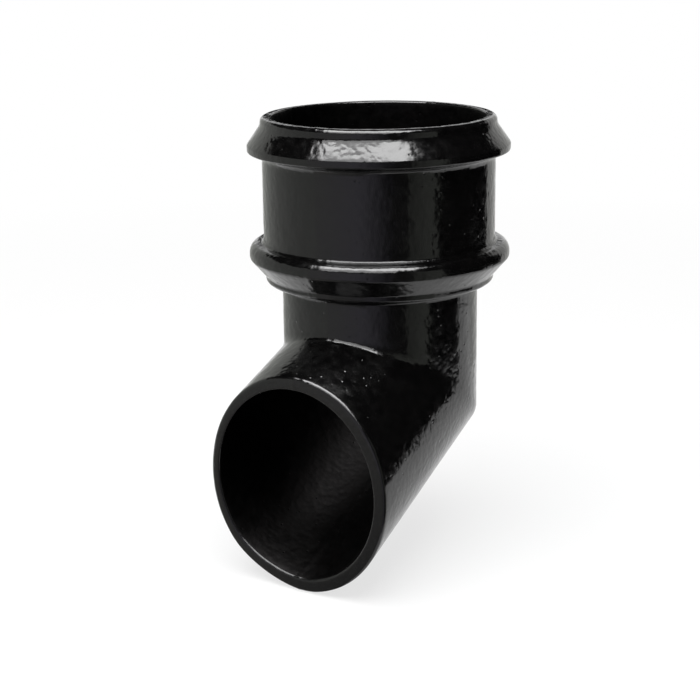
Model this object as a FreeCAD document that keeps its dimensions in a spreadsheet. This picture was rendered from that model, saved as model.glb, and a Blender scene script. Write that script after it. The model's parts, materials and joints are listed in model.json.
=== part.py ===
"""Cast-iron downpipe shoe for a round 75 mm downpipe: one casting.

It is modelled upright, as it hangs at the foot of the pipe. The origin is the centre of the socket's seat,
+Z runs up out of the socket's mouth, and the outlet points to -Y. Lengths are in mm, angles in degrees.
"""

import FreeCAD, Part
import os
import Sketcher

# Driving sizes. Drops are measured down from the socket's rim and rises up from its seat, each fall or face
# goes on down from the corner above it, and reaches and insets are measured from the socket's plain wall.
SIZES = {
    "pipe_bore": 75.0,
    "pipe_wall": 4.5,
    "socket_gap": 3.0,
    "socket_wall": 4.4,
    "socket_depth": 65.0,
    "seat_fall": 5.5,
    "mouth_round": 1.0,
    "rim_reach": 0.5,
    "rim_round": 1.8,
    "flare_drop": 3.8,
    "flare_round": 4.0,
    "collar_reach": 6.2,
    "collar_drop": 11.8,
    "collar_round": 1.2,
    "collar_face": 3.0,
    "collar_edge_round": 1.0,
    "collar_fall": 1.6,
    "collar_foot_round": 3.0,
    "bead_top_rise": 12.0,
    "bead_top_round": 1.2,
    "bead_fall": 0.7,
    "bead_reach": 6.2,
    "bead_round": 3.0,
    "bead_face": 5.9,
    "bead_edge_round": 2.0,
    "bead_foot_fall": 7.6,
    "bead_foot_inset": 0.4,
    "bead_foot_round": 1.5,
    "shoulder_face": 2.8,
    "shoulder_inset": 0.6,
    "shoulder_round": 1.8,
    "shoulder_fall": 1.3,
    "foot_round": 2.0,
    "bend_drop": 50.9,
    "bend_angle": 67.5,
    "bend_round": 4.0,
    "spout_length": 73.9,
    "spout_flare": 0.7,
    "lip_outer_round": 0.8,
    "lip_inner_round": 1.5,
}

FULL_TURN = 360
NEAR = 1e-3
EDGE_SAMPLES = 5

# Radii and places that several features share, as expressions on the sheet's cells.
PIPE_INSIDE = "(Sizes.pipe_bore / 2)"
PIPE_OUTSIDE = "(Sizes.pipe_bore / 2 + Sizes.pipe_wall)"
SOCKET_INSIDE = "(%s + Sizes.socket_gap)" % PIPE_OUTSIDE
SOCKET_OUTSIDE = "(%s + Sizes.socket_wall)" % SOCKET_INSIDE
RIM = "Sizes.socket_depth"
MITRE_RISE = "({radius} * tan(Sizes.bend_angle / 2))".format(radius=PIPE_OUTSIDE)
BEND_TANGENT = "(Sizes.bend_round * tan(Sizes.bend_angle / 2))"

# The bend ends a tangent length past its round.
BEND_END = "(2 * {tangent})".format(tangent=BEND_TANGENT)

# How far a plane leans back from level: the mitre's, and the outlet's, which is plumb.
MITRE_LEAN = "(Sizes.bend_angle / 2)"
OUTLET_LEAN = "90"

# Heights of the corners outside the socket, from the collar's edge down to the shoulder's foot.
FLARE_TOP = "(Sizes.socket_depth - Sizes.flare_drop)"
COLLAR_TOP = "(Sizes.socket_depth - Sizes.collar_drop)"
COLLAR_EDGE = "(%s - Sizes.collar_face)" % COLLAR_TOP
COLLAR_FOOT = "(%s - Sizes.collar_fall)" % COLLAR_EDGE
BEAD_TOP = "(Sizes.bead_top_rise - Sizes.bead_fall)"
BEAD_EDGE = "(%s - Sizes.bead_face)" % BEAD_TOP
BEAD_FOOT = "(%s - Sizes.bead_foot_fall)" % BEAD_EDGE
SHOULDER_EDGE = "(%s - Sizes.shoulder_face)" % BEAD_FOOT
SHOULDER_FOOT = "(%s - Sizes.shoulder_fall)" % SHOULDER_EDGE

# The turned socket and the bend meet halfway between the shoulder's foot and the start of the bend's round.
BEND_START = "({rise} + {tangent} - Sizes.bend_drop)".format(rise=MITRE_RISE, tangent=BEND_TANGENT)
BARREL_MIDDLE = "(({foot} + {start}) / 2)".format(foot=SHOULDER_FOOT, start=BEND_START)

doc = FreeCAD.newDocument("downpipe_shoe")


def make_sheet():
    """Put the driving sizes in a spreadsheet, one named cell each."""
    cells = doc.addObject("Spreadsheet::Sheet", "Sizes")
    for row, (name, value) in enumerate(SIZES.items(), start=1):
        cells.set("A%d" % row, name)
        cells.set("B%d" % row, str(value))
        cells.setAlias("B%d" % row, name)
    doc.recompute()
    return cells


sheet = make_sheet()


def value_of(expression):
    """Current value of an expression on the sheet's cells, where None stands for zero."""
    return float(sheet.evalExpression(expression)) if expression else 0.0


def beyond_wall(reach):
    """Radius of what reaches out from the socket's plain wall."""
    return "(%s + Sizes.%s)" % (SOCKET_OUTSIDE, reach)


def within_wall(inset):
    """Radius of what lies inside the socket's plain wall."""
    return "(%s - Sizes.%s)" % (SOCKET_OUTSIDE, inset)


def along_spout(distance):
    """Place (y, z) on the spout's axis, a distance from where it crosses the pipe's axis."""
    return (
        "-%s * sin(Sizes.bend_angle)" % distance,
        "-Sizes.bend_drop - %s * cos(Sizes.bend_angle)" % distance,
    )


def new_sketch(body, name, role):
    """Empty sketch on one of the body's own origin planes."""
    sketch = body.newObject("Sketcher::SketchObject", name)
    plane = next(item for item in body.Origin.OriginFeatures if item.Role == role)
    sketch.AttachmentSupport = [(plane, "")]
    sketch.MapMode = "FlatFace"
    return sketch


def bind_constraint(sketch, constraint, expression):
    """Add a constraint whose size follows an expression."""
    sketch.setExpression("Constraints[%d]" % sketch.addConstraint(constraint), expression)


def bind_point(sketch, geometry, end, across, up):
    """Tie a point to two expressions, where None puts it on that axis."""
    for kind, axis, expression in (("DistanceX", -2, across), ("DistanceY", -1, up)):
        if expression is None:
            sketch.addConstraint(Sketcher.Constraint("PointOnObject", geometry, end, axis))
        else:
            size = Sketcher.Constraint(kind, -1, 1, geometry, end, value_of(expression))
            bind_constraint(sketch, size, expression)


def round_of(before, corner, after, radius):
    """Arc that rounds a corner between two neighbours, as its start, middle and end."""
    back = (before - corner).normalize()
    ahead = (after - corner).normalize()
    bisector = (back + ahead).normalize()
    cosine = back.dot(bisector)
    to_centre = radius / (1 - cosine**2) ** 0.5
    tangent = to_centre * cosine
    middle = corner + bisector * (to_centre - radius)
    return corner + back * tangent, middle, corner + ahead * tangent


def draw_chain(sketch, corners, closed):
    """Chain of straight edges through corners (across, up, round), each tied to the sheet.

    A corner with a round becomes an arc, and the corner itself stays as a construction point.
    """
    places = [FreeCAD.Vector(value_of(corner[0]), value_of(corner[1]), 0) for corner in corners]
    count = len(corners)
    starts = list(places)
    finishes = list(places)
    arcs = {}
    for index, corner in enumerate(corners):
        if len(corner) > 2:
            before, after = places[index - 1], places[(index + 1) % count]
            round_points = round_of(before, places[index], after, value_of(corner[2]))
            finishes[index], _, starts[index] = round_points
            arcs[index] = Part.Arc(*round_points)
    edge_count = count if closed else count - 1
    for index in range(edge_count):
        sketch.addGeometry(Part.LineSegment(starts[index], finishes[(index + 1) % count]))
    for index, corner in enumerate(corners):
        into, out = (index - 1) % count, index
        if index not in arcs:
            first = (out, 1) if index < edge_count else (into, 2)
            bind_point(sketch, *first, *corner)
            if closed or 0 < index < edge_count:
                sketch.addConstraint(Sketcher.Constraint("Coincident", into, 2, out, 1))
            continue
        arc = sketch.addGeometry(arcs[index])
        point = sketch.addGeometry(Part.Point(places[index]), True)
        starts_first = sketch.getPoint(arc, 1).distanceToPoint(finishes[index]) < NEAR
        near_end, far_end = (1, 2) if starts_first else (2, 1)
        bind_point(sketch, point, 1, *corner[:2])
        sketch.addConstraint(Sketcher.Constraint("Tangent", into, 2, arc, near_end))
        sketch.addConstraint(Sketcher.Constraint("Tangent", arc, far_end, out, 1))
        sketch.addConstraint(Sketcher.Constraint("PointOnObject", point, 1, into))
        sketch.addConstraint(Sketcher.Constraint("PointOnObject", point, 1, out))
        bind_constraint(sketch, Sketcher.Constraint("Radius", arc, value_of(corner[2])), corner[2])


def spout_section(body, name, radius, centre, lean):
    """Section of the round spout on a plane that leans back from level: an ellipse about a place (y, z)."""
    sketch = new_sketch(body, name, "XY_Plane")
    turn = FreeCAD.Rotation(FreeCAD.Vector(-1, 0, 0), value_of(lean))
    sketch.AttachmentOffset = FreeCAD.Placement(FreeCAD.Vector(), turn)
    sketch.setExpression("AttachmentOffset.Rotation.Angle", lean)
    for axis, expression in zip("yz", centre):
        sketch.setExpression("AttachmentOffset.Base." + axis, expression)
    long_radius = "%s / cos(Sizes.bend_angle - %s)" % (radius, lean)
    long_end = FreeCAD.Vector(0, value_of(long_radius), 0)
    short_end = FreeCAD.Vector(value_of(radius), 0, 0)
    ellipse = sketch.addGeometry(Part.Ellipse(long_end, short_end, FreeCAD.Vector()))
    sketch.exposeInternalGeometry(ellipse)
    long_axis, short_axis = ellipse + 1, ellipse + 2
    sketch.addConstraint(Sketcher.Constraint("Coincident", ellipse, 3, -1, 1))
    sketch.addConstraint(Sketcher.Constraint("Vertical", long_axis))
    for line, length in ((long_axis, "2 * " + long_radius), (short_axis, "2 * " + radius)):
        bind_constraint(sketch, Sketcher.Constraint("Distance", line, value_of(length)), length)
    return sketch


def add_turned(body, kind, name, corners):
    """Turn an outline about the socket's axis, to add metal or to take it away."""
    outline = new_sketch(body, name + "_outline", "XZ_Plane")
    draw_chain(outline, corners, closed=True)
    turned = body.newObject("PartDesign::" + kind, name)
    turned.Profile = outline
    turned.ReferenceAxis = (outline, ["V_Axis"])
    turned.Angle = FULL_TURN
    doc.recompute()


def add_bend_and_spout(body, kind, name, radius):
    """Pipe, mitred bend and spout of one radius, to add metal or to take it away.

    The mitre's ellipse is carried along the centre line without turning, so both legs come out round and
    the mitre's inner and outer corners get the same even round. The spout then widens a little to its outlet.
    """
    path = new_sketch(body, name + "_path", "YZ_Plane")
    corner = (None, "-Sizes.bend_drop", "Sizes.bend_round")
    draw_chain(path, [(None, MITRE_RISE), corner, along_spout(BEND_END)], closed=False)
    bend = body.newObject("PartDesign::%sPipe" % kind, name + "_bend")
    bend.Profile = spout_section(body, name + "_top", radius, ("0", MITRE_RISE), MITRE_LEAN)
    bend.Spine = path
    bend.Mode = "Fixed"
    doc.recompute()
    near_place, far_place = along_spout(BEND_END), along_spout("Sizes.spout_length")
    far_radius = "(%s + Sizes.spout_flare)" % radius
    spout = body.newObject("PartDesign::%sLoft" % kind, name + "_spout")
    spout.Profile = spout_section(body, name + "_near", radius, near_place, MITRE_LEAN)
    spout.Sections = [spout_section(body, name + "_far", far_radius, far_place, OUTLET_LEAN)]
    spout.Ruled = True
    doc.recompute()


def on_mouth(point):
    """True for a point on the edge between the socket's bore and its rim."""
    radius = FreeCAD.Vector(point.x, point.y, 0).Length
    return abs(radius - value_of(SOCKET_INSIDE)) + abs(point.z - value_of(RIM)) < NEAR


def on_outlet(point):
    """True for a point on the outlet's plumb plane."""
    return abs(point.y - value_of(along_spout("Sizes.spout_length")[0])) < NEAR


def edges_where(shape, test):
    """Names of the edges that pass a test all along, shortest first."""
    found = []
    for number, edge in enumerate(shape.Edges, start=1):
        if all(test(point) for point in edge.discretize(EDGE_SAMPLES)):
            found.append((edge.Length, "Edge%d" % number))
    return [name for _, name in sorted(found)]


def add_round(body, name, edge_names, radius):
    """Round edges of the body's last feature."""
    base = body.Tip
    rounded = body.newObject("PartDesign::Fillet", name)
    rounded.Base = (base, edge_names)
    rounded.setExpression("Radius", radius)
    doc.recompute()


def socket_outline():
    """Outside of the socket, from its rim down to the middle of the barrel."""
    return [
        (None, RIM),
        (beyond_wall("rim_reach"), RIM, "Sizes.rim_round"),
        (beyond_wall("rim_reach"), FLARE_TOP, "Sizes.flare_round"),
        (beyond_wall("collar_reach"), COLLAR_TOP, "Sizes.collar_round"),
        (beyond_wall("collar_reach"), COLLAR_EDGE, "Sizes.collar_edge_round"),
        (SOCKET_OUTSIDE, COLLAR_FOOT, "Sizes.collar_foot_round"),
        (SOCKET_OUTSIDE, "Sizes.bead_top_rise", "Sizes.bead_top_round"),
        (beyond_wall("bead_reach"), BEAD_TOP, "Sizes.bead_round"),
        (beyond_wall("bead_reach"), BEAD_EDGE, "Sizes.bead_edge_round"),
        (within_wall("bead_foot_inset"), BEAD_FOOT, "Sizes.bead_foot_round"),
        (within_wall("shoulder_inset"), SHOULDER_EDGE, "Sizes.shoulder_round"),
        (PIPE_OUTSIDE, SHOULDER_FOOT, "Sizes.foot_round"),
        (PIPE_OUTSIDE, BARREL_MIDDLE),
        (None, BARREL_MIDDLE),
    ]


def socket_hollow():
    """Inside of the socket: its bore, and the sloping seat on which the pipe's end rests."""
    return [
        (None, RIM),
        (SOCKET_INSIDE, RIM),
        (SOCKET_INSIDE, None),
        (PIPE_INSIDE, "-Sizes.seat_fall"),
        (None, "-Sizes.seat_fall"),
    ]


def barrel_top():
    """What the drawn pipe has above the middle of the barrel, where the turned socket takes over."""
    clear_radius = "(2 * %s)" % PIPE_OUTSIDE
    clear_height = "(2 * %s)" % MITRE_RISE
    return [
        (None, BARREL_MIDDLE),
        (clear_radius, BARREL_MIDDLE),
        (clear_radius, clear_height),
        (None, clear_height),
    ]


def make_shoe():
    """Model the casting: bend and spout, then the socket on top, then the hollows and the edge rounds."""
    body = doc.addObject("PartDesign::Body", "downpipe_shoe")
    body.Label = "downpipe_shoe"
    add_bend_and_spout(body, "Additive", "outside", PIPE_OUTSIDE)
    add_turned(body, "Groove", "barrel_top", barrel_top())
    add_turned(body, "Revolution", "socket", socket_outline())
    add_turned(body, "Groove", "socket_hollow", socket_hollow())
    add_bend_and_spout(body, "Subtractive", "inside", PIPE_INSIDE)
    add_round(body, "mouth_edge", edges_where(body.Shape, on_mouth), "Sizes.mouth_round")
    inner_edge = edges_where(body.Shape, on_outlet)[:1]
    add_round(body, "lip_inner_edge", inner_edge, "Sizes.lip_inner_round")
    outer_edge = edges_where(body.Shape, on_outlet)[-1:]
    add_round(body, "lip_outer_edge", outer_edge, "Sizes.lip_outer_round")
    return body


def check_document(body):
    """Stop if any object failed, or if the casting isn't one sound solid."""
    for item in doc.Objects:
        if {"Invalid", "Error"} & set(item.State):
            raise RuntimeError("%s failed: %s" % (item.Name, item.State))
    if body.Shape.isNull() or not body.Shape.isValid() or len(body.Shape.Solids) != 1:
        raise RuntimeError("%s isn't one sound solid" % body.Label)


shoe = make_shoe()
check_document(shoe)
os.makedirs("parts", exist_ok=True)
shoe.Shape.exportStep(os.path.join("parts", shoe.Label + ".step"))
print("%s: %.0f mm3" % (shoe.Label, shoe.Shape.Volume))
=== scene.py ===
"""Looks of a cast-iron downpipe shoe: the painted casting, and the white studio that shows it.

Lengths are in metres, in the part's own frame: the origin is the centre of the socket's seat, +Z runs up
out of the socket's mouth, and the outlet points to -Y. Angles in fields are in degrees.
"""

import json
import logging
import math
from dataclasses import dataclass
from enum import Enum

import bmesh
import bpy
from mathutils import Matrix, Vector, noise


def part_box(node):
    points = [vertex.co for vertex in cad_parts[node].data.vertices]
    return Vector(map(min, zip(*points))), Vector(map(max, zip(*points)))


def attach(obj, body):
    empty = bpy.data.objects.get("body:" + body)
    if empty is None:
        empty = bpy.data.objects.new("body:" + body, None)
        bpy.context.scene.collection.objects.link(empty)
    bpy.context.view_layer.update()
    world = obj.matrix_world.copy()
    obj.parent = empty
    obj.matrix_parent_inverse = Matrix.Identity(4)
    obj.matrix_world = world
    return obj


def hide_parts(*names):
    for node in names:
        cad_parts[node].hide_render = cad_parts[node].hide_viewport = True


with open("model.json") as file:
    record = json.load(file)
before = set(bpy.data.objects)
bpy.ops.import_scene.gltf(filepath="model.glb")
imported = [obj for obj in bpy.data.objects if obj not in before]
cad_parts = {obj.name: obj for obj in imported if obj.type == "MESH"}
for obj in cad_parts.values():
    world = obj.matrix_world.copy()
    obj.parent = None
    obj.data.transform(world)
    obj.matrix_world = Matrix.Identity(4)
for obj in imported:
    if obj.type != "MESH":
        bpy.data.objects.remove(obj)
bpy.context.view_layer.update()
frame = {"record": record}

LOG = logging.getLogger("downpipe_shoe")
NODE = "downpipe_shoe"
BODY = "root"
MILLIMETRE = 0.001
UP = Vector((0, 0, 1))

Ring = list[bmesh.types.BMEdge]
Colour = tuple[float, float, float, float]
BLACK: Colour = (0.0, 0.0, 0.0, 1)
WHITE: Colour = (1.0, 1.0, 1.0, 1)


def ring_points(ring: Ring) -> set[bmesh.types.BMVert]:
    """Points of a ring of edges."""
    return {point for edge in ring for point in edge.verts}


def side_edges(first: Ring, second: Ring) -> list[bmesh.types.BMEdge]:
    """Edges that join one ring to the next.

    Args:
        first: Edges of the first ring.
        second: Edges of the second ring.

    Returns:
        The joining edges.
    """
    near, far = ring_points(first), ring_points(second)
    return [edge for point in far for edge in point.link_edges if edge.other_vert(point) in near]


def round_edges(shape: bmesh.types.BMesh, edges: Ring, reach: float, steps: int) -> None:
    """Round edges of a mesh.

    Args:
        shape: The mesh.
        edges: The edges.
        reach: How far the round runs onto the faces on both sides.
        steps: Number of faces across the round.
    """
    bmesh.ops.bevel(
        shape,
        geom=edges,
        offset=reach,
        offset_type="OFFSET",
        affect="EDGES",
        segments=steps,
        profile=0.5,
        material=-1,
    )


def stage_thing(name: str, shape: bmesh.types.BMesh, material: bpy.types.Material) -> bpy.types.Object:
    """Turn a mesh into a studio thing, which is no part of the object.

    Args:
        name: Name of the thing.
        shape: Its mesh, which is used up.
        material: What it is made of.

    Returns:
        The thing.
    """
    mesh = bpy.data.meshes.new(name)
    shape.to_mesh(mesh)
    shape.free()
    mesh.materials.append(material)
    thing = bpy.data.objects.new(name, mesh)
    bpy.context.scene.collection.objects.link(thing)
    return thing


def show_only_in_gloss(thing: bpy.types.Object) -> None:
    """Let a studio thing show in reflections alone.

    Args:
        thing: The studio thing.
    """
    thing.visible_camera = False
    thing.visible_diffuse = False
    thing.visible_transmission = False
    thing.visible_shadow = False


class Wall(Enum):
    """The two skins of the casting."""

    OUTSIDE = "outside"
    INSIDE = "inside"


@dataclass(frozen=True)
class Corner:
    """A corner of the outline that is turned about the socket's axis.

    Attributes:
        reach: Distance from the axis.
        height: Height above the seat.
        rounding: Radius of the corner's round, or zero for a sharp corner.
    """

    reach: float
    height: float
    rounding: float = 0.0

    def place(self) -> Vector:
        """Place of the corner in the outline's plane."""
        return Vector((self.reach, 0, self.height))


@dataclass(frozen=True)
class Section:
    """A section of the round pipe on a plane that leans back from level.

    Attributes:
        y: Place of its centre along the way to the outlet.
        z: Height of its centre.
        lean: How far its plane leans back from level.
        slant: Angle between its plane and the pipe's square section.
        radius: The pipe's radius there.
        x: How far its centre lies to the side.
    """

    y: float
    z: float
    lean: float
    slant: float
    radius: float
    x: float = 0.0

    def matrix(self) -> Matrix:
        """Map from the unit circle about the origin to this section's ellipse."""
        lean = math.radians(self.lean)
        across = Vector((self.radius, 0, 0))
        length = self.radius / math.cos(math.radians(self.slant))
        along = Vector((0, math.cos(lean), -math.sin(lean))) * length
        normal = Vector((0, math.sin(lean), math.cos(lean)))
        turn = Matrix((across, along, normal)).transposed().to_4x4()
        return Matrix.Translation((self.x, self.y, self.z)) @ turn


@dataclass(frozen=True)
class Waviness:
    """One scale of the as-cast skin's unevenness.

    Attributes:
        spacing: Distance from one swell to the next.
        depth: How far its hollows lie below its swells.
    """

    spacing: float
    depth: float

    def sink(self, place: Vector) -> float:
        """How far the skin lies below its swells at a place."""
        return self.depth * (0.5 - 0.5 * noise.noise(place / self.spacing))


@dataclass(frozen=True)
class Knock:
    """A dent in the casting.

    Attributes:
        place: Middle of the dent.
        push: Direction in which the metal is moved.
        reach: Distance from the middle at which it has run out.
        depth: How far the middle is moved.
    """

    place: tuple[float, float, float]
    push: tuple[float, float, float]
    reach: float
    depth: float

    def shift(self, place: Vector) -> Vector:
        """How far the metal at a place is moved.

        Args:
            place: The place.

        Returns:
            The move.
        """
        offset = place - Vector(self.place)
        share = max(0.0, 1 - (offset.length / self.reach) ** 2)
        return Vector(self.push).normalized() * self.depth * share**2


class NodeBoard:
    """A shader tree with short ways to add nodes and to wire them.

    Attributes:
        tree: The shader tree.
    """

    def __init__(self, tree: bpy.types.ShaderNodeTree) -> None:
        """Take over a tree and empty it.

        Args:
            tree: The shader tree.
        """
        self.tree = tree
        tree.nodes.clear()

    def add(self, kind: str, settings: dict | None = None, **values: object) -> bpy.types.ShaderNode:
        """Add a node.

        Args:
            kind: The node's type name without its ShaderNode prefix.
            settings: Properties of the node.
            values: Inputs by name, in lower case with underscores: a value to set or a socket to wire.

        Returns:
            The new node.
        """
        prefix = "" if kind.startswith("NodeGroup") else "ShaderNode"
        node = self.tree.nodes.new(prefix + kind)
        for name, value in (settings or {}).items():
            setattr(node, name, value)
        for name, value in values.items():
            self.feed(node, name, value)
        return node

    def feed(self, node: bpy.types.ShaderNode, name: str, value: object) -> None:
        """Set a node's input, or wire a socket to it.

        Args:
            node: The node.
            name: The input's name in lower case with underscores, and a number where names repeat.
            value: A value or an output socket.
        """
        stem = name.rstrip("0123456789")
        matches = [item for item in node.inputs if item.enabled and self.plain(item.name) == stem]
        target = matches[int(name[len(stem):] or 0)]
        if isinstance(value, bpy.types.NodeSocket):
            self.tree.links.new(value, target)
        else:
            target.default_value = value

    @staticmethod
    def plain(name: str) -> str:
        """A socket's name in lower case with underscores."""
        return name.lower().replace(" ", "_")


@dataclass(frozen=True)
class CastSkin:
    """The as-cast skin under paint, as a shader group that several finishes can use.

    Attributes:
        name: Name of the group.
        detail: How many finer sizes ride on grains and lumps.
        lump_height: Height of a lump, in grains.
        pit_depth: Depth of a pit, in grains.
        pit_reach: Radius of a pit, as a share of the distance between pits.
    """

    name: str = "cast_skin"
    detail: float = 1.0
    lump_height: float = 3.0
    pit_depth: float = 2.5
    pit_reach: float = 0.14

    def group(self) -> bpy.types.ShaderNodeTree:
        """Make the group, or find it if it has been made.

        Returns:
            A group with the inputs Grain Size, Lump Size and Pit Size, and the outputs Height and Gloss.
        """
        known = bpy.data.node_groups.get(self.name)
        if known:
            return known
        tree = bpy.data.node_groups.new(self.name, "ShaderNodeTree")
        for size in ("Grain Size", "Lump Size", "Pit Size"):
            tree.interface.new_socket(size, in_out="INPUT", socket_type="NodeSocketFloat")
        for result in ("Height", "Gloss"):
            tree.interface.new_socket(result, in_out="OUTPUT", socket_type="NodeSocketFloat")
        board = NodeBoard(tree)
        sizes = board.add("NodeGroupInput")
        place = board.add("TexCoord").outputs["Object"]
        grain = self.bumps(board, place, sizes.outputs["Grain Size"])
        lumps = self.bumps(board, place, sizes.outputs["Lump Size"])
        pits = self.pits(board, place, sizes.outputs["Pit Size"])
        swells = board.add(
            "Math", {"operation": "MULTIPLY_ADD"}, value0=lumps, value1=self.lump_height, value2=grain
        )
        height = board.add("Math", {"operation": "SUBTRACT"}, value0=swells.outputs[0], value1=pits)
        board.add("NodeGroupOutput", height=height.outputs[0], gloss=lumps)
        return tree

    def pits(
        self, board: NodeBoard, place: bpy.types.NodeSocket, size: bpy.types.NodeSocket
    ) -> bpy.types.NodeSocket:
        """Small round pits, scattered one to a cell.

        Args:
            board: The tree to draw in.
            place: Coordinates.
            size: Distance from one pit to the next.

        Returns:
            Their depth, in grains.
        """
        rate = board.add("Math", {"operation": "DIVIDE"}, value0=1.0, value1=size)
        cells = board.add("TexVoronoi", vector=place, scale=rate.outputs[0])
        bowl = board.add(
            "MapRange",
            {"interpolation_type": "SMOOTHSTEP"},
            value=cells.outputs["Distance"],
            from_max=self.pit_reach,
            to_min=self.pit_depth,
            to_max=0.0,
        )
        return bowl.outputs["Result"]

    def bumps(
        self, board: NodeBoard, place: bpy.types.NodeSocket, size: bpy.types.NodeSocket
    ) -> bpy.types.NodeSocket:
        """Rounded bumps of one size.

        Args:
            board: The tree to draw in.
            place: Coordinates.
            size: Distance from one bump to the next.

        Returns:
            Their height, from 0 to 1.
        """
        rate = board.add("Math", {"operation": "DIVIDE"}, value0=1.0, value1=size)
        cloud = board.add("TexNoise", vector=place, scale=rate.outputs[0], detail=self.detail)
        return cloud.outputs["Fac"]


@dataclass(frozen=True)
class BlackGlossPaint:
    """Gloss black paint brushed over a sand-cast skin, which gives way inside the bore to a dark metal
    with weak, rough reflections: painted shade of the hollow.

    Attributes:
        colour: Colour of a full coat.
        thin_colour: Colour where the coat is thin.
        bore_shade_colour: Colour of the dark metal inside the bore, painted shade that weakens the
            reflections there.
        smooth: Roughness where the coat has run together.
        dull: Roughness where the grain stands through it.
        smooth_up_to: Height of the lumps up to which the coat is smooth.
        dull_from: Height of the lumps from which it is dull.
        bore_dull: How much rougher the inside of the bore is, which dulls its reflections together with
            its painted shade.
        grain_size: Distance between the grains of the skin.
        lump_size: Distance between its lumps.
        pit_size: Distance between its pits.
        relief: Height of a grain.
        refraction: Refractive index of the paint.
    """

    colour: Colour = (0.0012, 0.0012, 0.0013, 1)
    thin_colour: Colour = (0.003, 0.0028, 0.0028, 1)
    bore_shade_colour: Colour = (0.009, 0.0085, 0.0085, 1)
    smooth: float = 0.09
    dull: float = 0.2
    smooth_up_to: float = 0.3
    dull_from: float = 0.7
    bore_dull: float = 0.28
    grain_size: float = 2.0 * MILLIMETRE
    lump_size: float = 4.0 * MILLIMETRE
    pit_size: float = 4.5 * MILLIMETRE
    relief: float = 0.055 * MILLIMETRE
    refraction: float = 1.5

    def material(self) -> bpy.types.Material:
        """Make the paint.

        Returns:
            A material that reads object coordinates and the casting's hollow attribute.
        """
        paint = bpy.data.materials.new("gloss_black_paint")
        paint.use_nodes = True
        board = NodeBoard(paint.node_tree)
        skin = board.add(
            "Group",
            {"node_tree": CastSkin().group()},
            grain_size=self.grain_size,
            lump_size=self.lump_size,
            pit_size=self.pit_size,
        )
        # How far each point looks into the bore, where the paint gives way to painted shade.
        bore_shade = board.add("Attribute", {"attribute_name": Casting.HOLLOW}).outputs["Fac"]
        gloss = skin.outputs["Gloss"]
        dullness = board.add(
            "MapRange",
            value=gloss,
            from_min=self.smooth_up_to,
            from_max=self.dull_from,
            to_min=self.smooth,
            to_max=self.dull,
        )
        roughness = board.add(
            "Math",
            {"operation": "MULTIPLY_ADD"},
            value0=bore_shade,
            value1=self.bore_dull,
            value2=dullness.outputs[0],
        )
        coat = board.add("Mix", {"data_type": "RGBA"}, factor=gloss, a=self.colour, b=self.thin_colour)
        painted = coat.outputs["Result"]
        # Painted shade: inside the bore the coat gives way to a dark metal colour with weak reflections.
        shade = board.add("Mix", {"data_type": "RGBA"}, factor=bore_shade, a=painted, b=self.bore_shade_colour)
        bump = board.add("Bump", strength=1.0, distance=self.relief, height=skin.outputs["Height"])
        surface = board.add(
            "BsdfPrincipled",
            base_color=shade.outputs["Result"],
            metallic=bore_shade,
            roughness=roughness.outputs[0],
            ior=self.refraction,
            normal=bump.outputs["Normal"],
        )
        board.add("OutputMaterial", surface=surface.outputs["BSDF"])
        return paint


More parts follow.
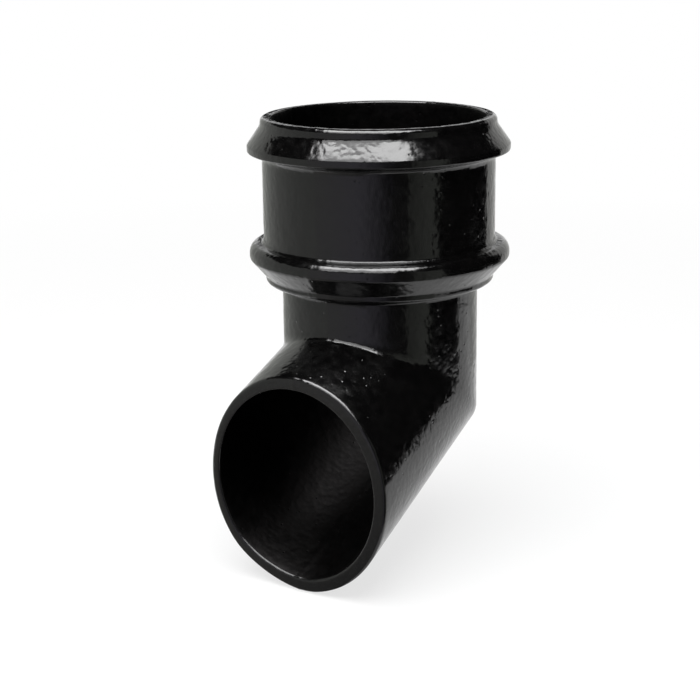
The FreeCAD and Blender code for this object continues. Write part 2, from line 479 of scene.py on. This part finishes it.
@dataclass
class Casting:
    """The shoe: socket, barrel, mitred bend and slanted spout, as one shell of cast iron.

    Drops go down from the rim, and rises and falls up and down from the seat. Reaches and insets go out
    and in from the socket's plain wall. A round is the radius of the corner that it is named for.

    Attributes:
        rim_height: Height of the rim above the seat.
        socket_radius: Radius of the socket's bore.
        socket_wall: Thickness of the socket's plain wall.
        pipe_radius: Radius of the bore below the seat.
        pipe_wall: Thickness of the wall there.
        seat_fall: How deep the sloping seat is.
        mouth_round: Round of the rim's inner edge.
        rim_reach: How far the rim stands out.
        rim_round: Round of its outer edge.
        flare_drop: Where the collar begins to flare.
        flare_round: Round of the hollow corner there.
        collar_reach: How far the collar stands out.
        collar_drop: Top of the collar's upright band.
        collar_round: Round of the band's upper edge.
        collar_edge_drop: Foot of the band.
        collar_edge_round: Round of the band's lower edge.
        collar_foot_drop: Where the collar's underside meets the plain wall.
        collar_foot_round: Round of the hollow corner there.
        bead_top_rise: Where the bead's upper side meets the plain wall.
        bead_top_round: Round of the hollow corner there.
        bead_reach: How far the bead stands out.
        bead_rise: Top of the bead's outermost part.
        bead_round: Round of its upper edge.
        bead_edge_rise: Foot of its outermost part.
        bead_edge_round: Round of its lower edge.
        bead_foot_inset: How far in the bead's foot lies.
        bead_foot_fall: How low the bead's foot lies.
        bead_foot_round: Round of the hollow corner there.
        shoulder_inset: How far in the shoulder's edge lies.
        shoulder_fall: How low the shoulder's edge lies.
        shoulder_round: Round of that edge.
        shoulder_foot_fall: Where the shoulder meets the barrel.
        foot_round: Round of the hollow corner there.
        barrel_fall: Where the turned outline ends on the barrel.
        soft_edge: Round of the seat's two edges.
        bend_drop: How far the mitre's middle lies below the seat.
        bend_angle: How far the spout turns away from plumb.
        bend_round: Round of the pipe's centre line at the mitre.
        spout_length: Length of the spout's centre line, from the mitre to the outlet.
        spout_flare: How far the outside widens towards the outlet.
        lip_outer_round: Round of the outlet's outer edge.
        lip_inner_round: Round of the outlet's inner edge.
        core_shift: How far to +X the hollow's end lies from the outside's middle.
        spokes: Number of faces round the pipe.
        row: Height of a row of faces on the socket.
        corner_steps: Number of faces across a round.
        bend_steps: Number of faces round the bend.
        barrel_rows: Number of cuts across the barrel.
        spout_rows: Number of cuts across the spout.
        lip_rows: Number of cuts across the outlet's flat lip.
        waves: The as-cast unevenness.
        seam_width: Half the width of the mould's seam.
        seam_share: How much of the unevenness the seam fills.
        hollow_from: How squarely a face has to look at the centre line to count as inside the bore,
            where shade is painted.
        knocks: The dents.
    """

    rim_height: float
    socket_radius: float
    socket_wall: float = 4.4 * MILLIMETRE
    pipe_radius: float = 37.5 * MILLIMETRE
    pipe_wall: float = 4.5 * MILLIMETRE
    seat_fall: float = 5.5 * MILLIMETRE
    mouth_round: float = 1.0 * MILLIMETRE
    rim_reach: float = 0.5 * MILLIMETRE
    rim_round: float = 2.4 * MILLIMETRE
    flare_drop: float = 3.8 * MILLIMETRE
    flare_round: float = 4.0 * MILLIMETRE
    collar_reach: float = 6.2 * MILLIMETRE
    collar_drop: float = 11.8 * MILLIMETRE
    collar_round: float = 1.2 * MILLIMETRE
    collar_edge_drop: float = 14.8 * MILLIMETRE
    collar_edge_round: float = 1.0 * MILLIMETRE
    collar_foot_drop: float = 16.4 * MILLIMETRE
    collar_foot_round: float = 3.0 * MILLIMETRE
    bead_top_rise: float = 12.0 * MILLIMETRE
    bead_top_round: float = 1.2 * MILLIMETRE
    bead_reach: float = 6.2 * MILLIMETRE
    bead_rise: float = 11.3 * MILLIMETRE
    bead_round: float = 4.2 * MILLIMETRE
    bead_edge_rise: float = 5.4 * MILLIMETRE
    bead_edge_round: float = 2.0 * MILLIMETRE
    bead_foot_inset: float = 0.4 * MILLIMETRE
    bead_foot_fall: float = 2.2 * MILLIMETRE
    bead_foot_round: float = 1.5 * MILLIMETRE
    shoulder_inset: float = 0.6 * MILLIMETRE
    shoulder_fall: float = 5.0 * MILLIMETRE
    shoulder_round: float = 1.8 * MILLIMETRE
    shoulder_foot_fall: float = 6.3 * MILLIMETRE
    foot_round: float = 2.0 * MILLIMETRE
    barrel_fall: float = 13.2 * MILLIMETRE
    soft_edge: float = 0.8 * MILLIMETRE
    bend_drop: float = 50.9 * MILLIMETRE
    bend_angle: float = 67.5
    bend_round: float = 4.0 * MILLIMETRE
    spout_length: float = 73.9 * MILLIMETRE
    spout_flare: float = 0.7 * MILLIMETRE
    lip_outer_round: float = 1.4 * MILLIMETRE
    lip_inner_round: float = 1.2 * MILLIMETRE
    core_shift: float = -1.0 * MILLIMETRE
    spokes: int = 288
    row: float = 1.6 * MILLIMETRE
    corner_steps: int = 5
    bend_steps: int = 10
    barrel_rows: int = 22
    spout_rows: int = 36
    lip_rows: int = 5
    waves: tuple[Waviness, ...] = (
        Waviness(34 * MILLIMETRE, 0.22 * MILLIMETRE),
        Waviness(11 * MILLIMETRE, 0.07 * MILLIMETRE),
        Waviness(5 * MILLIMETRE, 0.035 * MILLIMETRE),
    )
    seam_width: float = 0.9 * MILLIMETRE
    seam_share: float = 0.8
    hollow_from: float = 0.95
    knocks: tuple[Knock, ...] = (
        Knock(
            place=(-0.0145, -0.0683, -0.122),
            push=(0.3, 0.1, 0.95),
            reach=25 * MILLIMETRE,
            depth=1.25 * MILLIMETRE,
        ),
    )

    HOLLOW = "hollow"
    FLAT = 0.01 * MILLIMETRE  # How far a point may lie behind the outlet's plane and count as on it
    WELD = 0.001 * MILLIMETRE  # Points nearer than this are one

    def outside_radius(self) -> float:
        """Radius of the socket's plain wall."""
        return self.socket_radius + self.socket_wall

    def outline(self) -> list[Corner]:
        """Corners of the turned outline, from the barrel up the outside, over the rim and down inside.

        Returns:
            The corners in order.
        """
        wall = self.outside_radius()
        rim = self.rim_height
        pipe = self.pipe_radius + self.pipe_wall
        return [
            Corner(pipe, -self.barrel_fall),
            Corner(pipe, -self.shoulder_foot_fall, self.foot_round),
            Corner(wall - self.shoulder_inset, -self.shoulder_fall, self.shoulder_round),
            Corner(wall - self.bead_foot_inset, -self.bead_foot_fall, self.bead_foot_round),
            Corner(wall + self.bead_reach, self.bead_edge_rise, self.bead_edge_round),
            Corner(wall + self.bead_reach, self.bead_rise, self.bead_round),
            Corner(wall, self.bead_top_rise, self.bead_top_round),
            Corner(wall, rim - self.collar_foot_drop, self.collar_foot_round),
            Corner(wall + self.collar_reach, rim - self.collar_edge_drop, self.collar_edge_round),
            Corner(wall + self.collar_reach, rim - self.collar_drop, self.collar_round),
            Corner(wall + self.rim_reach, rim - self.flare_drop, self.flare_round),
            Corner(wall + self.rim_reach, rim, self.rim_round),
            Corner(self.socket_radius, rim, self.mouth_round),
            Corner(self.socket_radius, 0.0, self.soft_edge),
            Corner(self.pipe_radius, -self.seat_fall, self.soft_edge),
            Corner(self.pipe_radius, -self.barrel_fall),
        ]

    def wall_radius(self, wall: Wall) -> float:
        """Radius of one of the barrel's two skins."""
        return self.pipe_radius + (self.pipe_wall if wall is Wall.OUTSIDE else 0.0)

    def spout_axis(self) -> Vector:
        """Direction in which the spout runs."""
        angle = math.radians(self.bend_angle)
        return Vector((0, -math.sin(angle), -math.cos(angle)))

    def bend_tangent(self) -> float:
        """Distance from the mitre at which the bend's round begins and ends."""
        return self.bend_round * math.tan(math.radians(self.bend_angle / 2))

    def barrel_section(self, wall: Wall) -> Section:
        """Square section of the barrel where the turned outline ends."""
        return Section(0.0, -self.barrel_fall, 0.0, 0.0, self.wall_radius(wall))

    def bend_sections(self, wall: Wall) -> list[Section]:
        """Sections parallel to the mitre, round the bend and on to where the spout begins.

        Args:
            wall: The skin that they belong to.

        Returns:
            The sections in order.
        """
        mitre = self.bend_angle / 2
        top = self.bend_tangent() - self.bend_drop
        sections = []
        for step in range(self.bend_steps + 1):
            angle = math.radians(self.bend_angle * step / self.bend_steps)
            y = self.bend_round * (math.cos(angle) - 1)
            z = top - self.bend_round * math.sin(angle)
            sections.append(Section(y, z, mitre, mitre, self.wall_radius(wall)))
        end = self.spout_axis() * 2 * self.bend_tangent() - UP * self.bend_drop
        return [*sections, Section(end.y, end.z, mitre, mitre, self.wall_radius(wall))]

    def outlet_section(self, wall: Wall) -> Section:
        """Section of the spout on the outlet's plumb plane.

        Its outside is slightly widened, and its inside lies to the side, as the core stood in the mould.

        Args:
            wall: The skin that it belongs to.

        Returns:
            The section.
        """
        centre = self.spout_axis() * self.spout_length - UP * self.bend_drop
        flare, shift = (self.spout_flare, 0.0) if wall is Wall.OUTSIDE else (0.0, self.core_shift)
        radius = self.wall_radius(wall) + flare
        return Section(centre.y, centre.z, 90.0, 90.0 - self.bend_angle, radius, shift)

    def turn_socket(self, shape: bmesh.types.BMesh) -> None:
        """Draw the outline, round its corners, divide its edges and turn it about the socket's axis.

        Args:
            shape: The mesh to draw in.
        """
        corners = self.outline()
        chain = [shape.verts.new(corner.place()) for corner in corners]
        for start, end in zip(chain, chain[1:]):
            shape.edges.new((start, end))
        for index in range(1, len(corners) - 1):
            before, corner, after = (corners[index + step].place() for step in (-1, 0, 1))
            half_angle = (before - corner).angle(after - corner) / 2
            bmesh.ops.bevel(
                shape,
                geom=[chain[index]],
                offset=corners[index].rounding / math.tan(half_angle),
                offset_type="OFFSET",
                affect="VERTICES",
                segments=self.corner_steps,
                profile=0.5,
                material=-1,
            )
        for edge in list(shape.edges):
            cuts = int(edge.calc_length() / self.row)
            if cuts:
                bmesh.ops.subdivide_edges(shape, edges=[edge], cuts=cuts)
        bmesh.ops.spin(
            shape,
            geom=[*shape.verts, *shape.edges],
            cent=(0, 0, 0),
            axis=UP,
            angle=math.tau,
            steps=self.spokes,
            use_merge=True,
        )

    def pipe_run(self, wall: Wall) -> list[Section]:
        """Sections of one skin of the pipe, from the barrel round the bend to the outlet."""
        return [self.barrel_section(wall), *self.bend_sections(wall), self.outlet_section(wall)]

    def carry(self, shape: bmesh.types.BMesh, ring: Ring, start: Section, end: Section) -> Ring:
        """Extrude a ring of the pipe from one section to another.

        Args:
            shape: The mesh.
            ring: Edges of the ring, which lies on the first section.
            start: The section that the ring lies on.
            end: The section that the new ring lies on.

        Returns:
            Edges of the new ring.
        """
        made = bmesh.ops.extrude_edge_only(shape, edges=ring)["geom"]
        points = {item for item in made if isinstance(item, bmesh.types.BMVert)}
        bmesh.ops.transform(shape, matrix=end.matrix() @ start.matrix().inverted(), verts=list(points))
        edges = [item for item in made if isinstance(item, bmesh.types.BMEdge)]
        return [edge for edge in edges if points.issuperset(edge.verts)]

    def carry_pipe(self, shape: bmesh.types.BMesh) -> None:
        """Carry the pipe's outside from barrel to outlet and its inside back, and round both lips.

        Args:
            shape: The turned mesh, open at the barrel.
        """
        middle = self.pipe_radius + self.pipe_wall / 2
        rims = [edge for edge in shape.edges if edge.is_boundary]
        rings = [[edge for edge in rims if edge.verts[0].co.xy.length > middle]]
        outside = self.pipe_run(Wall.OUTSIDE)
        sections = [*outside, *reversed(self.pipe_run(Wall.INSIDE))]
        for start, end in zip(sections, sections[1:]):
            rings.append(self.carry(shape, rings[-1], start, end))
        outer_lip = len(outside) - 1
        barrel = [edge for start in (0, -2) for edge in side_edges(rings[start], rings[start + 1])]
        bmesh.ops.subdivide_edges(shape, edges=barrel, cuts=self.barrel_rows, use_grid_fill=True)
        round_edges(shape, rings[outer_lip], self.lip_outer_round, self.corner_steps)
        round_edges(shape, rings[outer_lip + 1], self.lip_inner_round, self.corner_steps)
        plane = outside[-1].y + self.FLAT
        face = [edge for edge in shape.edges if all(point.co.y < plane for point in edge.verts)]
        across = [edge for edge in face if edge.calc_length() > 2 * self.lip_inner_round]
        bmesh.ops.subdivide_edges(shape, edges=across, cuts=self.lip_rows, use_grid_fill=True)
        bend_ends = ring_points(rings[outer_lip - 1]) | ring_points(rings[outer_lip + 2])
        leaving = {edge for point in bend_ends for edge in point.link_edges}
        spout = [edge for edge in leaving if edge.calc_length() > 2 * self.bend_round]
        bmesh.ops.subdivide_edges(shape, edges=spout, cuts=self.spout_rows, use_grid_fill=True)

    def away_from_axis(self, place: Vector) -> Vector:
        """Direction from the pipe's centre line to a place.

        Args:
            place: A place on the casting.

        Returns:
            A unit vector square to the barrel's axis, or to the spout's beyond the mitre.
        """
        spout = self.spout_axis()
        from_bend = place + UP * self.bend_drop
        axis = spout if from_bend.dot(spout - UP) > 0 else UP
        return (from_bend - axis * from_bend.dot(axis)).normalized()

    def roughen(self, shape: bmesh.types.BMesh) -> None:
        """Mark how far each point looks into the hollow, and give the skin its as-cast unevenness.

        The skin sinks least where the mould's halves met, so their seam stands as a faint ridge.

        Args:
            shape: The closed mesh, with its normals pointing out of the metal.
        """
        hollow = shape.verts.layers.float.new(self.HOLLOW)
        shape.normal_update()
        moves = []
        for point in shape.verts:
            inward = -point.normal.dot(self.away_from_axis(point.co))
            point[hollow] = min(1.0, max(0.0, (inward - self.hollow_from) / (1 - self.hollow_from)))
            seam = math.exp(-((point.co.x / self.seam_width) ** 2))
            sink = sum(wave.sink(point.co) for wave in self.waves) * (1 - self.seam_share * seam)
            dent = sum((knock.shift(point.co) for knock in self.knocks), Vector())
            moves.append(dent - point.normal * sink)
        for point, move in zip(shape.verts, moves):
            point.co += move

    def build(self) -> bpy.types.Object:
        """Model the casting.

        Returns:
            The finished piece, with its place in its mesh.
        """
        shape = bmesh.new()
        self.turn_socket(shape)
        self.carry_pipe(shape)
        bmesh.ops.remove_doubles(shape, verts=shape.verts, dist=self.WELD)
        bmesh.ops.recalc_face_normals(shape, faces=shape.faces)
        self.roughen(shape)
        for face in shape.faces:
            face.smooth = True
        mesh = bpy.data.meshes.new("shoe_casting")
        shape.to_mesh(mesh)
        shape.free()
        piece = bpy.data.objects.new(mesh.name, mesh)
        bpy.context.scene.collection.objects.link(piece)
        return piece

    def dress(self, piece: bpy.types.Object) -> None:
        """Paint the casting and tie it to the frame.

        Args:
            piece: The finished piece.
        """
        piece.data.materials.append(BlackGlossPaint().material())
        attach(piece, BODY)
        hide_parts(NODE)


@dataclass(frozen=True)
class PhotoCamera:
    """The camera, set by where it stands round the socket's axis.

    Attributes:
        bearing: How far it stands from the outlet's side, towards +X.
        elevation: How far it stands above level.
        roll: How far it is turned about its own axis.
        distance: Distance from the middle of the view.
        width_in_view: Width of the view at that distance.
        aim_right: Middle of the view from the rim's centre, to the right.
        aim_up: Middle of the view from the rim's centre, upwards.
    """

    bearing: float = 32.15
    elevation: float = 15.57
    roll: float = -0.84
    distance: float = 0.6684
    width_in_view: float = 0.2929
    aim_right: float = -0.0118
    aim_up: float = -0.0989

    def place(self, rim_height: float) -> None:
        """Make the camera and take the picture with it.

        Args:
            rim_height: Height of the rim above the seat.
        """
        lens = bpy.data.cameras.new("photo_camera")
        lens.lens = lens.sensor_width * self.distance / self.width_in_view
        turn = (
            Matrix.Rotation(math.radians(self.bearing), 4, "Z")
            @ Matrix.Rotation(math.radians(90 - self.elevation), 4, "X")
            @ Matrix.Rotation(math.radians(self.roll), 4, "Z")
        )
        camera = bpy.data.objects.new(lens.name, lens)
        offset = Matrix.Translation((self.aim_right, self.aim_up, self.distance))
        camera.matrix_world = Matrix.Translation(UP * rim_height) @ turn @ offset
        bpy.context.scene.collection.objects.link(camera)
        bpy.context.scene.camera = camera


@dataclass(frozen=True)
class Screen:
    """A curved studio screen, with or without a floor flap, which shows only in the object's gloss.

    Attributes:
        name: Name of the screen.
        start: Bearing of its left edge from the camera, to the right.
        end: Bearing of its right edge.
        tone: What its left edge gives off.
        end_tone: What its right edge gives off.
        near: Distance of the flap's edge from the socket's axis.
        far: Distance of the screen.
        foot: Height of the screen's lower edge above the floor.
        height: Height of its upper edge.
    """

    name: str
    start: float
    end: float
    tone: Colour
    end_tone: Colour
    near: float = 0.3
    far: float = 0.6
    foot: float = 0.0
    height: float = 0.45

    ACROSS = "across"
    DEGREES_PER_FACE = 3

    def build(self, floor: float, camera_bearing: float) -> None:
        """Bend the screen round the object.

        Args:
            floor: Height of the floor.
            camera_bearing: Where the camera stands.
        """
        shape = bmesh.new()
        across = shape.verts.layers.float.new(self.ACROSS)
        low = floor + MILLIMETRE
        flap = [(self.near, low)] if self.near < self.far else []
        profile = [*flap, (self.far, low + self.foot), (self.far, floor + self.height)]
        turn = Matrix.Rotation(math.radians(camera_bearing + self.start - 90), 4, "Z")
        points = [shape.verts.new(turn @ Vector((reach, 0, height))) for reach, height in profile]
        for start, end in zip(points, points[1:]):
            shape.edges.new((start, end))
        sweep = math.radians(self.end - self.start)
        bmesh.ops.spin(
            shape,
            geom=[*shape.verts, *shape.edges],
            cent=(0, 0, 0),
            axis=UP,
            angle=sweep,
            steps=round((self.end - self.start) / self.DEGREES_PER_FACE),
        )
        left = points[0].co.xy
        for point in shape.verts:
            point[across] = -left.angle_signed(point.co.xy) % math.tau / sweep
        show_only_in_gloss(stage_thing(self.name, shape, self.glow()))

    def glow(self) -> bpy.types.Material:
        """Make the screen's even or graded glow.

        Returns:
            A material that reads the screen's own attribute.
        """
        glow = bpy.data.materials.new(self.name)
        glow.use_nodes = True
        board = NodeBoard(glow.node_tree)
        across = board.add("Attribute", {"attribute_name": self.ACROSS}).outputs["Fac"]
        tone = board.add("Mix", {"data_type": "RGBA"}, factor=across, a=self.tone, b=self.end_tone)
        light = board.add("Emission", color=tone.outputs["Result"])
        board.add("OutputMaterial", surface=light.outputs["Emission"])
        return glow


@dataclass(frozen=True)
class Canopy:
    """A black canopy over the studio, which shows only in the object's gloss.

    Attributes:
        reach: Its radius.
        foot: Height of its lower edge above the floor.
        top: Height of its top above the floor.
        panels: Number of its sides.
    """

    reach: float = 1.8
    foot: float = 0.5
    top: float = 2.0
    panels: int = 48

    def build(self, floor: float) -> None:
        """Hang the canopy.

        Args:
            floor: Height of the floor.
        """
        shape = bmesh.new()
        profile = [(self.reach, self.foot), (self.reach, self.top), (0.0, self.top)]
        points = [shape.verts.new((reach, 0, floor + height)) for reach, height in profile]
        for start, end in zip(points, points[1:]):
            shape.edges.new((start, end))
        bmesh.ops.spin(
            shape,
            geom=[*shape.verts, *shape.edges],
            cent=(0, 0, 0),
            axis=UP,
            angle=math.tau,
            steps=self.panels,
            use_merge=True,
        )
        cloth = bpy.data.materials.new("canopy")
        cloth.use_nodes = True
        board = NodeBoard(cloth.node_tree)
        board.add("OutputMaterial", surface=board.add("Emission", strength=0.0).outputs["Emission"])
        show_only_in_gloss(stage_thing("canopy", shape, cloth))


@dataclass(frozen=True)
class Softbox:
    """A softbox's bright cloth, which shows only in the object's gloss.

    Attributes:
        name: Name of the softbox.
        height: Its height.
        brightness: What it gives off.
        bearing: Bearing of its middle from the camera, to the right.
        elevation: How high its middle stands above the socket's seat.
        distance: Distance of its middle from the seat.
        width: Its width.
    """

    name: str
    height: float
    brightness: float
    bearing: float = -22.0
    elevation: float = 68.0
    distance: float = 1.0
    width: float = 1.13

    def place(self, camera_bearing: float) -> Matrix:
        """Place of the softbox's middle, facing the seat.

        Args:
            camera_bearing: Where the camera stands.

        Returns:
            A matrix whose -Z axis looks at the seat.
        """
        return (
            Matrix.Rotation(math.radians(camera_bearing + self.bearing), 4, "Z")
            @ Matrix.Rotation(math.radians(90 - self.elevation), 4, "X")
            @ Matrix.Translation((0, 0, self.distance))
        )

    def build(self, camera_bearing: float) -> None:
        """Hang the cloth.

        Args:
            camera_bearing: Where the camera stands.
        """
        shape = bmesh.new()
        place = self.place(camera_bearing) @ Matrix.Diagonal((self.width, self.height, 1, 1))
        bmesh.ops.create_grid(shape, x_segments=1, y_segments=1, size=0.5, matrix=place)
        cloth = bpy.data.materials.new(self.name)
        cloth.use_nodes = True
        board = NodeBoard(cloth.node_tree)
        light = board.add("Emission", strength=self.brightness)
        board.add("OutputMaterial", surface=light.outputs["Emission"])
        show_only_in_gloss(stage_thing(self.name, shape, cloth))


@dataclass
class Studio:
    """White floor and background, a softbox above the camera, and screens that shape the gloss.

    Attributes:
        floor_height: Height of the floor.
        camera_bearing: Where the camera stands.
        floor_reach: Radius of the floor.
        floor_sides: Number of its sides.
        floor_colour: Colour of the floor.
        floor_glow: Share of white in the floor close to the object.
        glow_near: Distance at which the share begins to grow.
        glow_far: Distance from which the floor is all white.
        ambient: Strength of the light from all round.
        softbox: The softbox's bright middle.
        skirt: The softbox's dimmer border.
        lamp_power: Power of the lamp behind it, in watts.
        lamp_size: Size of that lamp.
        canopy: The canopy over the studio.
        screens: The screens round the object.
    """

    floor_height: float
    camera_bearing: float
    floor_reach: float = 8.0
    floor_sides: int = 96
    floor_colour: Colour = (0.85, 0.85, 0.85, 1)
    floor_glow: float = 0.7
    glow_near: float = 0.15
    glow_far: float = 0.9
    ambient: float = 0.55
    softbox: Softbox = Softbox("softbox", height=0.55, brightness=13.0, elevation=74.0, width=1.0)
    skirt: Softbox = Softbox("softbox_skirt", height=1.15, brightness=4.5, distance=1.02)
    lamp_power: float = 16.0
    lamp_size: float = 1.0
    canopy: Canopy = Canopy()
    screens: tuple[Screen, ...] = (
        Screen("back_flag", -192, -168, BLACK, BLACK, near=0.6, foot=0.1, height=0.29),
        Screen("back_card", -200, -158, WHITE, WHITE, near=0.6, foot=0.3, height=0.56),
        Screen("left_screen", -162, -62, (0.56, 0.57, 0.54, 1), (0.52, 0.53, 0.51, 1)),
        Screen("front_screen", -62, -20, (0.52, 0.52, 0.51, 1), (0.5, 0.48, 0.56, 1), near=0.12),
        Screen(
            "apron",
            -75,
            -15,
            (0.52, 0.51, 0.49, 1),
            (0.2, 0.2, 0.2, 1),
            near=0.065,
            far=0.3,
            foot=0.004,
            height=0.007,
        ),
        Screen("fading_screen", -20, 10, (0.5, 0.48, 0.56, 1), (0.05, 0.05, 0.06, 1), near=0.12),
        Screen("centre_flag", 10, 27, (0.04, 0.04, 0.04, 1), (0.04, 0.04, 0.04, 1), near=0.12),
        Screen("strip_screen", 27, 54, (0.2, 0.21, 0.19, 1), (0.42, 0.44, 0.4, 1), near=0.12),
        Screen("right_flag", 54, 100, BLACK, BLACK),
        Screen("far_flag", 100, 126, BLACK, BLACK, near=0.55),
        Screen("right_screen", 126, 160, (0.7, 0.7, 0.68, 1), (0.75, 0.75, 0.73, 1)),
    )

    def build(self) -> None:
        """Set up the floor, the background, the softbox and the screens."""
        self.lay_floor()
        self.light_world()
        self.hang_lamp()
        self.softbox.build(self.camera_bearing)
        self.skirt.build(self.camera_bearing)
        self.canopy.build(self.floor_height)
        for screen in self.screens:
            screen.build(self.floor_height, self.camera_bearing)

    @staticmethod
    def seen_directly(board: NodeBoard) -> bpy.types.NodeSocket:
        """One for rays that see the background, straight or by way of gloss or glass, zero for others.

        Args:
            board: The tree to draw in.

        Returns:
            The socket that says so.
        """
        path = board.add("LightPath")
        rays = [path.outputs[name] for name in ("Is Camera Ray", "Is Glossy Ray", "Is Transmission Ray")]
        first = board.add("Math", {"operation": "MAXIMUM"}, value0=rays[0], value1=rays[1]).outputs[0]
        return board.add("Math", {"operation": "MAXIMUM"}, value0=first, value1=rays[2]).outputs[0]

    def lay_floor(self) -> None:
        """Lay a pale floor that runs out into the white background and keeps the object's shadow."""
        shape = bmesh.new()
        bmesh.ops.create_circle(shape, cap_ends=True, segments=self.floor_sides, radius=self.floor_reach)
        bmesh.ops.translate(shape, verts=shape.verts, vec=UP * self.floor_height)
        pale = bpy.data.materials.new("pale_floor")
        pale.use_nodes = True
        board = NodeBoard(pale.node_tree)
        place = board.add("TexCoord").outputs["Object"]
        away = board.add("VectorMath", {"operation": "LENGTH"}, vector=place).outputs["Value"]
        ramp = board.add(
            "MapRange",
            value=away,
            from_min=self.glow_near,
            from_max=self.glow_far,
            to_min=self.floor_glow,
            to_max=1.0,
        )
        seen = self.seen_directly(board)
        share = board.add("Math", {"operation": "MULTIPLY"}, value0=ramp.outputs[0], value1=seen)
        matt = board.add("BsdfDiffuse", color=self.floor_colour).outputs["BSDF"]
        white = board.add("Emission").outputs["Emission"]
        mixed = board.add("MixShader", fac=share.outputs[0], shader0=matt, shader1=white)
        board.add("OutputMaterial", surface=mixed.outputs[0])
        stage_thing("floor", shape, pale)

    def light_world(self) -> None:
        """Give the studio a white background and soft light from all round."""
        world = bpy.data.worlds.new("white_studio")
        world.use_nodes = True
        bpy.context.scene.world = world
        board = NodeBoard(world.node_tree)
        seen = self.seen_directly(board)
        strength = board.add("MapRange", value=seen, to_min=self.ambient, to_max=1.0)
        white = board.add("Background", color=WHITE, strength=strength.outputs[0])
        board.add("OutputWorld", surface=white.outputs[0])

    def hang_lamp(self) -> None:
        """Hang a soft lamp behind the softbox's cloth, which lights the floor and casts the shadow."""
        lamp = bpy.data.lights.new("studio_lamp", "AREA")
        lamp.size = self.lamp_size
        lamp.energy = self.lamp_power
        hung = bpy.data.objects.new(lamp.name, lamp)
        hung.matrix_world = self.skirt.place(self.camera_bearing)
        hung.visible_glossy = False
        bpy.context.scene.collection.objects.link(hung)


def main() -> None:
    """Build the casting, the camera and the studio."""
    logging.basicConfig(level=logging.INFO, format="%(message)s")
    bpy.context.scene.view_settings.view_transform = "Standard"
    socket = frame["record"]["mounts"][0]
    low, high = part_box(NODE)
    casting = Casting(rim_height=high.z, socket_radius=socket["dims"]["r_mm"] * MILLIMETRE)
    piece = casting.build()
    casting.dress(piece)
    LOG.info("%s: %d faces", piece.name, len(piece.data.polygons))
    camera = PhotoCamera()
    camera.place(high.z)
    Studio(floor_height=low.z, camera_bearing=camera.bearing).build()


if __name__ == "__main__":
    main()
